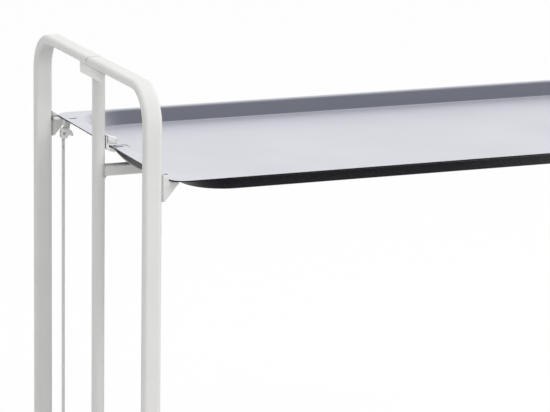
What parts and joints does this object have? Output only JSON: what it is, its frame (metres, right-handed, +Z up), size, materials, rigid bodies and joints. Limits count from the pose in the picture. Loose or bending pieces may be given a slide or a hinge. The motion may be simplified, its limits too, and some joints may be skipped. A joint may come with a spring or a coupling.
{
  "type": "room service table",
  "caption": "Tubular two-ended service table on castors with a lift-off pressed sheet-metal tray, hanging stay rods and a middle spine of beams.",
  "frame": {"origin": "middle of the table's footprint on the floor, under the tray's centre", "axes": "+X along the tray from the left end frame to the right one, +Y from the near long side to the far one, +Z up"},
  "size_m": [1.082, 0.537, 0.892],
  "materials": {
    "powder_coat": "semi-gloss off-white powder coat",
    "tray_metal": "smooth satin sheet",
    "zinc": "bright zinc plate",
    "cap_plastic": "moulded, fine texture",
    "clip": "gloss white",
    "wheel_plastic": "moulded grey nylon",
    "tyre": "matt tread",
    "pedal_plastic": "moulded black nylon"
  },
  "bodies": {
    "frame": {"wing_left_far": "powder_coat", "gusset_left_far": "powder_coat", "castor_head_left_far": "zinc", "wing_left_near": "powder_coat", "gusset_left_near": "powder_coat", "castor_head_left_near": "zinc", "top_saddle_left": "powder_coat", "foot_saddle_left": "powder_coat", "post_left": "powder_coat", "wing_right_near": "powder_coat", "gusset_right_near": "powder_coat", "castor_head_right_near": "zinc", "wing_right_far": "powder_coat", "gusset_right_far": "powder_coat", "castor_head_right_far": "zinc", "top_saddle_right": "powder_coat", "foot_saddle_right": "powder_coat", "post_right": "powder_coat", "upper_beam": "powder_coat", "lower_beam": "powder_coat", "rail_caps": "cap_plastic", "saddle_screws": "zinc", "beam_webs": "powder_coat", "castor_nuts": "zinc"},
    "tray": {"tray": "tray_metal", "edge_clip_left": "clip", "clevis_left": "powder_coat", "rod_pin_left": "zinc", "grip_lip_left": "tray_metal", "edge_clip_right": "clip", "clevis_right": "powder_coat", "rod_pin_right": "zinc", "grip_lip_right": "tray_metal"},
    "fork_left_far": {"fork_left_far": "zinc", "axle_left_far": "zinc"},
    "wheel_left_far": {"wheel_hub_left_far": "wheel_plastic", "tyre_left_far": "tyre"},
    "fork_left_near": {"fork_left_near": "zinc", "axle_left_near": "zinc", "pedal_pin_left_near": "zinc"},
    "wheel_left_near": {"wheel_hub_left_near": "wheel_plastic", "tyre_left_near": "tyre"},
    "pedal_left_near": {"brake_pedal_left_near": "pedal_plastic"},
    "rod_left": {"hanging_rod_left": "powder_coat"},
    "fork_right_near": {"fork_right_near": "zinc", "axle_right_near": "zinc"},
    "wheel_right_near": {"wheel_hub_right_near": "wheel_plastic", "tyre_right_near": "tyre"},
    "fork_right_far": {"fork_right_far": "zinc", "axle_right_far": "zinc", "pedal_pin_right_far": "zinc"},
    "wheel_right_far": {"wheel_hub_right_far": "wheel_plastic", "tyre_right_far": "tyre"},
    "pedal_right_far": {"brake_pedal_right_far": "pedal_plastic"},
    "rod_right": {"hanging_rod_right": "powder_coat"}
  },
  "joints": [
    {"name": "tray_lift", "type": "slide", "parent": "frame", "child": "tray", "axis": [0, 0, 1], "range_m": [0, 0.3]},
    {"name": "swivel_left_far", "type": "hinge", "parent": "frame", "child": "fork_left_far", "pos_m": [-0.526, 0.172, 0.07], "axis": [0, 0, 1], "continuous": true},
    {"name": "roll_left_far", "type": "hinge", "parent": "fork_left_far", "child": "wheel_left_far", "pos_m": [-0.508, 0.172, 0.025], "axis": [0, 1, 0], "continuous": true},
    {"name": "swivel_left_near", "type": "hinge", "parent": "frame", "child": "fork_left_near", "pos_m": [-0.526, -0.172, 0.07], "axis": [0, 0, 1], "continuous": true},
    {"name": "roll_left_near", "type": "hinge", "parent": "fork_left_near", "child": "wheel_left_near", "pos_m": [-0.508, -0.172, 0.025], "axis": [0, 1, 0], "continuous": true},
    {"name": "brake_left_near", "type": "hinge", "parent": "fork_left_near", "child": "pedal_left_near", "pos_m": [-0.494, -0.172, 0.058], "axis": [0, 1, 0], "range_deg": [0, 8]},
    {"name": "rod_swing_left", "type": "hinge", "parent": "tray", "child": "rod_left", "pos_m": [-0.5005, 0.223, 0.725], "axis": [0, -1, 0], "range_deg": [-80, 80]},
    {"name": "swivel_right_near", "type": "hinge", "parent": "frame", "child": "fork_right_near", "pos_m": [0.526, -0.172, 0.07], "axis": [0, 0, 1], "continuous": true},
    {"name": "roll_right_near", "type": "hinge", "parent": "fork_right_near", "child": "wheel_right_near", "pos_m": [0.508, -0.172, 0.025], "axis": [0, 1, 0], "continuous": true},
    {"name": "swivel_right_far", "type": "hinge", "parent": "frame", "child": "fork_right_far", "pos_m": [0.526, 0.172, 0.07], "axis": [0, 0, 1], "continuous": true},
    {"name": "roll_right_far", "type": "hinge", "parent": "fork_right_far", "child": "wheel_right_far", "pos_m": [0.508, 0.172, 0.025], "axis": [0, 1, 0], "continuous": true},
    {"name": "brake_right_far", "type": "hinge", "parent": "fork_right_far", "child": "pedal_right_far", "pos_m": [0.494, 0.172, 0.058], "axis": [0, -1, 0], "range_deg": [0, 8]},
    {"name": "rod_swing_right", "type": "hinge", "parent": "tray", "child": "rod_right", "pos_m": [0.5005, -0.223, 0.725], "axis": [0, 1, 0], "range_deg": [-80, 80]}
  ]
}
